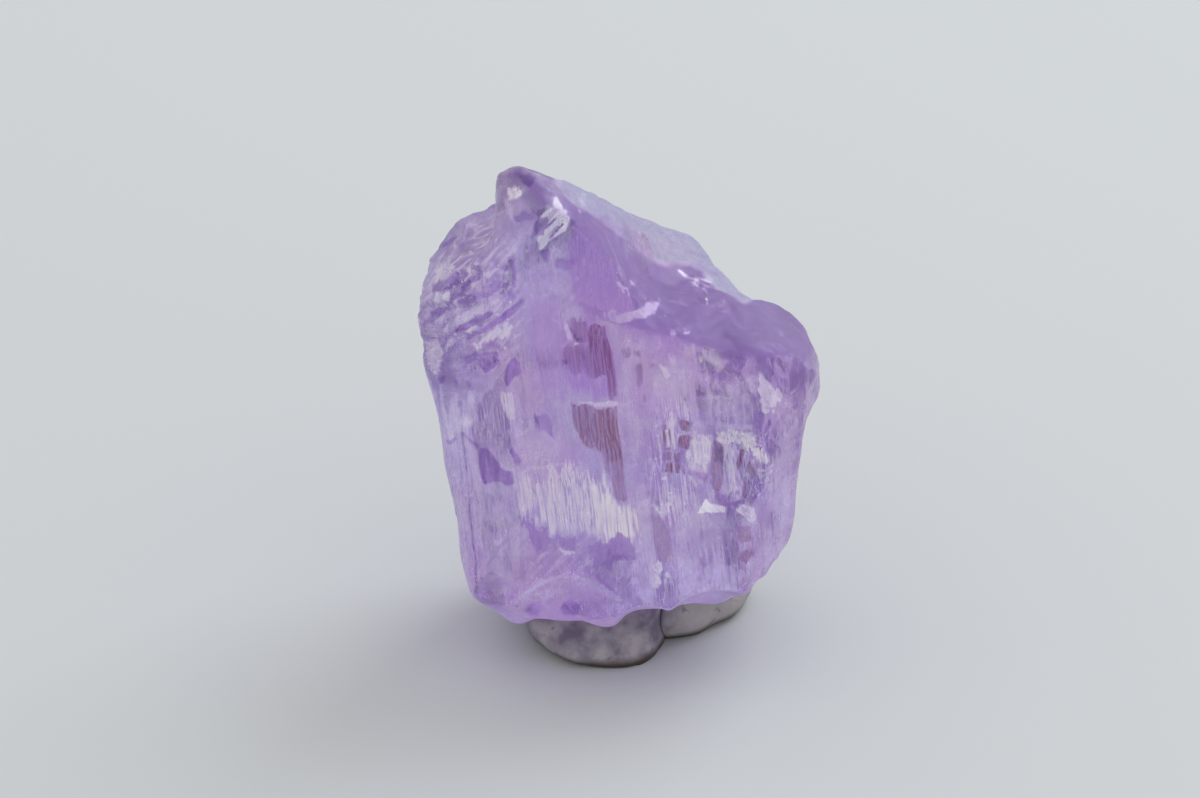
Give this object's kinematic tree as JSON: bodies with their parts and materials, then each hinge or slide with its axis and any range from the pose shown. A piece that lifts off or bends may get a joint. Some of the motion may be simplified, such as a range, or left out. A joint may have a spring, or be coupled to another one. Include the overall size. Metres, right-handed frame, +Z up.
{
  "type": "kunzite crystal",
  "caption": "Rough lilac gem crystal, a ribbed and etched prism with a horn at the top, standing on pinches of mounting putty.",
  "frame": {"origin": "on the table, under the middle of the whole specimen", "axes": "+Z up, +X to the right and -Y towards someone who looks at the broad ribbed front"},
  "size_m": [0.0182, 0.0132, 0.0232],
  "materials": {
    "kunzite": "clear lilac, naturally etched and ribbed, worn satin edges",
    "putty": "matte grey-white putty, thumb-pressed"
  },
  "bodies": {
    "root": {"crystal": "kunzite", "putty_front": "putty", "putty_back": "putty"}
  },
  "joints": []
}
